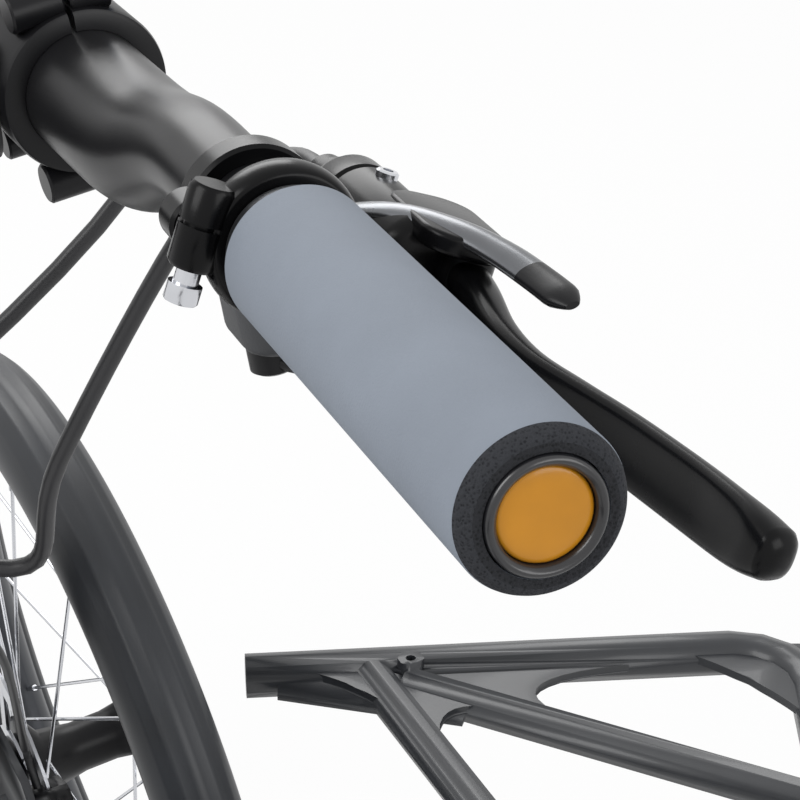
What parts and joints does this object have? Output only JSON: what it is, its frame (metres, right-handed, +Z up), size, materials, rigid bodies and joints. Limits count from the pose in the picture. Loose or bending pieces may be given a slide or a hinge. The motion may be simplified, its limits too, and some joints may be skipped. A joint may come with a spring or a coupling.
{
  "type": "electric cargo bike",
  "caption": "Front-loading electric cargo bike with an open tubular platform round its small front wheel, linkage steering, belt drive and hydraulic disc brakes.",
  "frame": {"origin": "middle of the whole bike's box on the ground, at the foot of the stand and the tyres", "axes": "+X forward, the way the bike is ridden; +Y to the rider's left; +Z up"},
  "size_m": [2.1177, 0.7988, 1.0535],
  "materials": {
    "frame_paint": "satin dark grey paint",
    "stand_paint": "satin black paint",
    "black_alloy": "glossy black anodised",
    "satin_alloy": "satin dark grey anodised",
    "lever_black": "glossy black",
    "steel": "bright",
    "tyre": "smooth black rubber",
    "grip_foam": "matt blue-grey foam with a granular chamfered end",
    "plug_black": "smooth black",
    "plug_amber": "glossy amber dome",
    "saddle_skin": "matt black",
    "belt": "matt black",
    "hose": "smooth black",
    "casing": "fine-grained dark grey"
  },
  "bodies": {
    "frame": {"main_frame": "frame_paint", "platform_frame": "frame_paint", "column_cup_low": "black_alloy", "column_cup_high": "black_alloy", "fork_cup_low": "black_alloy", "fork_cup_high": "black_alloy", "motor_unit": "casing", "battery_rail": "black_alloy", "battery_pack": "casing", "seat_clamp": "black_alloy", "drive_belt": "belt", "rear_caliper": "black_alloy", "rear_brake_hose": "hose", "rear_axle": "steel"},
    "stand": {"centre_stand": "stand_paint"},
    "seat": {"seatpost": "black_alloy", "saddle": "saddle_skin"},
    "column": {"steering_column": "satin_alloy", "column_arm": "black_alloy"},
    "link": {"tie_rod": "black_alloy"},
    "fork_group": {"fork": "frame_paint", "front_axle": "steel", "front_caliper": "black_alloy", "front_brake_hose": "hose"},
    "front_wheel": {"front_tyre": "tyre", "front_spoked_rim": "satin_alloy", "front_hub": "black_alloy", "front_brake_rotor": "steel"},
    "rear_wheel": {"rear_tyre": "tyre", "rear_spoked_rim": "satin_alloy", "rear_hub": "black_alloy", "rear_brake_rotor": "steel"},
    "rear_drive": {"rear_pulley": "satin_alloy"},
    "cranks": {"crankset": "black_alloy", "front_pulley": "satin_alloy"},
    "right_pedal": {"pedal_right": "black_alloy"},
    "left_pedal": {"pedal_left": "black_alloy"},
    "bar": {"handlebar": "satin_alloy", "stem": "black_alloy", "stem_faceplate": "black_alloy", "grip_right": "grip_foam", "grip_left": "grip_foam", "bar_end_plug_right": "plug_black", "bar_end_plug_left": "plug_black", "plug_disc_right": "plug_amber", "plug_disc_left": "plug_amber", "brake_perch_right": "black_alloy", "brake_perch_left": "black_alloy", "lever_pin_right": "steel", "lever_pin_left": "steel", "shifter_body": "satin_alloy", "brake_hose_right": "hose", "brake_hose_left": "hose"},
    "right_lever": {"brake_lever_right": "lever_black"},
    "left_lever": {"brake_lever_left": "lever_black"},
    "thumb_lever": {"shifter_thumb_lever": "lever_black"},
    "release_lever": {"shifter_release_lever": "steel"}
  },
  "joints": [
    {"name": "stand_swing", "type": "hinge", "parent": "frame", "child": "stand", "pos_m": [0.3911, 0, 0.272], "axis": [0, 1, 0], "range_deg": [0, 90]},
    {"name": "seat_height", "type": "slide", "parent": "frame", "child": "seat", "axis": [-0.3256, 0, 0.9455], "range_m": [-0.06, 0.08]},
    {"name": "column_turn", "type": "hinge", "parent": "frame", "child": "column", "pos_m": [-0.0089, 0, 0.9446], "axis": [-0.3256, 0, 0.9455], "range_deg": [-45, 10]},
    {"name": "link_turn", "type": "hinge", "parent": "column", "child": "link", "pos_m": [0.15483, 0.04831, 0.24318], "axis": [-0.3256, 0, 0.9455], "range_deg": [-10, 45]},
    {"name": "fork_turn", "type": "hinge", "parent": "frame", "child": "fork_group", "pos_m": [0.7581, 0.085, 0.23694], "axis": [-0.3256, 0, 0.9455], "range_deg": [-45, 10]},
    {"name": "front_wheel_spin", "type": "hinge", "parent": "fork_group", "child": "front_wheel", "pos_m": [0.8304, 0.02606, 0.24806], "axis": [-0.4248, 0.8934, -0.1463], "continuous": true},
    {"name": "rear_wheel_spin", "type": "hinge", "parent": "frame", "child": "rear_wheel", "pos_m": [-0.8089, 0, 0.2505], "axis": [0, 1, 0], "continuous": true},
    {"name": "crank_spin", "type": "hinge", "parent": "frame", "child": "cranks", "pos_m": [-0.3589, 0, 0.3], "axis": [0, 1, 0], "continuous": true},
    {"name": "rear_pulley_spin", "type": "hinge", "parent": "frame", "child": "rear_drive", "pos_m": [-0.8089, 0, 0.2505], "axis": [0, 1, 0], "continuous": true},
    {"name": "right_pedal_spin", "type": "hinge", "parent": "cranks", "child": "right_pedal", "pos_m": [-0.1889, -0.124, 0.3], "axis": [0, 1, 0], "continuous": true},
    {"name": "left_pedal_spin", "type": "hinge", "parent": "cranks", "child": "left_pedal", "pos_m": [-0.5289, 0.124, 0.3], "axis": [0, 1, 0], "continuous": true},
    {"name": "bar_swivel", "type": "hinge", "parent": "column", "child": "bar", "pos_m": [-0.0089, 0, 0.9446], "axis": [-0.0328, 0.1463, 0.9887], "range_deg": [0, 90], "deforming": ["brake_hose_right", "brake_hose_left"]},
    {"name": "right_brake", "type": "hinge", "parent": "bar", "child": "right_lever", "pos_m": [-0.11054, -0.17176, 1.01061], "axis": [0.1929, -0.3012, 0.9338], "range_deg": [-14, 0], "stiffness_Nm_per_rad": 1.5},
    {"name": "left_brake", "type": "hinge", "parent": "bar", "child": "left_lever", "pos_m": [0.19179, -0.02979, 0.99964], "axis": [0.1642, -0.3147, 0.9349], "range_deg": [0, 14], "stiffness_Nm_per_rad": 1.5},
    {"name": "thumb_shift", "type": "hinge", "parent": "bar", "child": "thumb_lever", "pos_m": [-0.09762, -0.1284, 0.99763], "axis": [0.026, 0.1681, 0.9854], "range_deg": [0, 20], "stiffness_Nm_per_rad": 0.3},
    {"name": "release_shift", "type": "hinge", "parent": "bar", "child": "release_lever", "pos_m": [-0.09189, -0.13789, 0.99909], "axis": [0.026, 0.1681, 0.9854], "range_deg": [-4, 0], "stiffness_Nm_per_rad": 0.3}
  ],
  "couplings": [
    {"joint": "link_turn", "follows": "column_turn", "ratio": -1},
    {"joint": "fork_turn", "follows": "column_turn", "ratio": 1},
    {"joint": "rear_pulley_spin", "follows": "crank_spin", "ratio": 2.1053}
  ]
}
